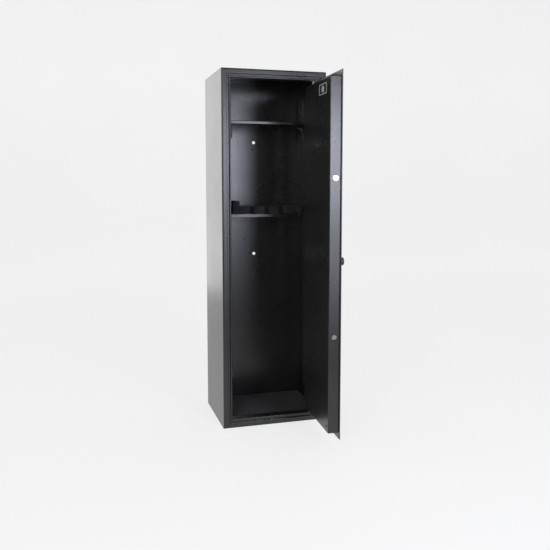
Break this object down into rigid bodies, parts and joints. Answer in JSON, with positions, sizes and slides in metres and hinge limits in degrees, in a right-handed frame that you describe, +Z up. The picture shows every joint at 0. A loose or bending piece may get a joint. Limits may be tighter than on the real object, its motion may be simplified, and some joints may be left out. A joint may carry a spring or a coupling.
{
  "type": "gun safe",
  "caption": "Tall black steel gun safe with a hinged door, knob-driven locking bolts, key lock, upper shelf, foam barrel rest and padded floor.",
  "frame": {"origin": "centre of the base's underside", "axes": "+Z up, -Y out of the door side, +Y towards the wall, +X to the right as seen from the front"},
  "size_m": [0.45, 0.7035, 1.5],
  "materials": {
    "black_powder_coat": "black fine-textured semi-gloss powder coat",
    "zinc_plated_steel": "zinc-plated steel",
    "chrome": "bright chrome",
    "black_knob": "black, satin",
    "brass": "turned brass",
    "dark_plate": "black anodised, blank",
    "blackened_steel": "blackened screw heads",
    "charcoal_foam": "dense charcoal foam",
    "charcoal_carpet": "needle-felt carpet on foam",
    "stop_rubber": "black rubber"
  },
  "bodies": {
    "cabinet": {"back_panel": "black_powder_coat", "base_panel": "black_powder_coat", "door_stops": "stop_rubber", "floor_pad": "charcoal_carpet", "frame_bottom": "black_powder_coat", "frame_left": "black_powder_coat", "frame_right": "black_powder_coat", "frame_top": "black_powder_coat", "hinge_pins": "zinc_plated_steel", "hinge_plate_bottom": "black_powder_coat", "hinge_plate_top": "black_powder_coat", "hinge_washers": "zinc_plated_steel", "jamb_bottom": "black_powder_coat", "jamb_left": "black_powder_coat", "jamb_right": "black_powder_coat", "jamb_top": "black_powder_coat", "left_side_panel": "black_powder_coat", "rack_bracket": "black_powder_coat", "rack_foam_left": "charcoal_foam", "rack_foam_middle": "charcoal_foam", "rack_foam_right": "charcoal_foam", "rack_screws": "zinc_plated_steel", "right_side_panel": "black_powder_coat", "shelf": "black_powder_coat", "shelf_clips": "zinc_plated_steel", "shelf_strip_left_front": "black_powder_coat", "shelf_strip_left_rear": "black_powder_coat", "shelf_strip_right_front": "black_powder_coat", "shelf_strip_right_rear": "black_powder_coat", "top_panel": "black_powder_coat"},
    "knob_group": {"knob": "black_knob", "knob_spindle": "zinc_plated_steel", "cam_disc": "zinc_plated_steel", "spindle_nut": "zinc_plated_steel"},
    "bolt_group": {"bolt_bar": "zinc_plated_steel", "locking_bolt_upper": "chrome", "locking_bolt_lower": "chrome", "bolt_cross_screws": "zinc_plated_steel", "follower_pin": "zinc_plated_steel"},
    "cylinder_group": {"key_cylinder": "brass", "cylinder_finger": "zinc_plated_steel"},
    "lock_bolt_group": {"lock_bolt": "zinc_plated_steel"},
    "keyhole_cover_group": {"keyhole_cover": "chrome"},
    "door": {"door_plate": "black_powder_coat", "door_pan": "black_powder_coat", "pan_pillars": "zinc_plated_steel", "pan_screws": "blackened_steel", "hinge_side_hook": "black_powder_coat", "certificate_plate": "dark_plate", "hard_plate": "zinc_plated_steel", "bolt_guide_upper": "zinc_plated_steel", "bolt_guide_lower": "zinc_plated_steel", "spindle_bush": "zinc_plated_steel", "knob_rose": "chrome", "lock_case": "zinc_plated_steel", "lock_case_screws": "zinc_plated_steel", "key_escutcheon": "chrome", "cover_rivet": "chrome", "door_hinge_lug_top": "black_powder_coat", "door_hinge_lug_bottom": "black_powder_coat"}
  },
  "joints": [
    {"name": "door_hinge", "type": "hinge", "parent": "cabinet", "child": "door", "pos_m": [0.171, -0.169, 0.75], "axis": [0, 0, 1], "range_deg": [-87, 18]},
    {"name": "knob_turn", "type": "hinge", "parent": "door", "child": "knob_group", "pos_m": [0.16859, -0.42523, 0.728], "axis": [-0.9986, 0.0523, 0], "range_deg": [0, 90]},
    {"name": "bolt_slide", "type": "slide", "parent": "door", "child": "bolt_group", "axis": [-0.0523, -0.9986, 0], "range_m": [0, 0.024]},
    {"name": "key_turn", "type": "hinge", "parent": "door", "child": "cylinder_group", "pos_m": [0.16859, -0.42523, 0.85], "axis": [-0.9986, 0.0523, 0], "range_deg": [0, 90]},
    {"name": "lock_bolt_slide", "type": "slide", "parent": "door", "child": "lock_bolt_group", "axis": [0, 0, -1], "range_m": [0, 0.01273]},
    {"name": "keyhole_cover_swing", "type": "hinge", "parent": "door", "child": "keyhole_cover_group", "pos_m": [0.17258, -0.42543, 0.869], "axis": [-0.9986, 0.0523, 0], "range_deg": [-100, 100]}
  ],
  "couplings": [
    {"joint": "bolt_slide", "follows": "knob_turn", "m_per_rad": 0.015278},
    {"joint": "lock_bolt_slide", "follows": "key_turn", "m_per_rad": 0.0081028}
  ]
}
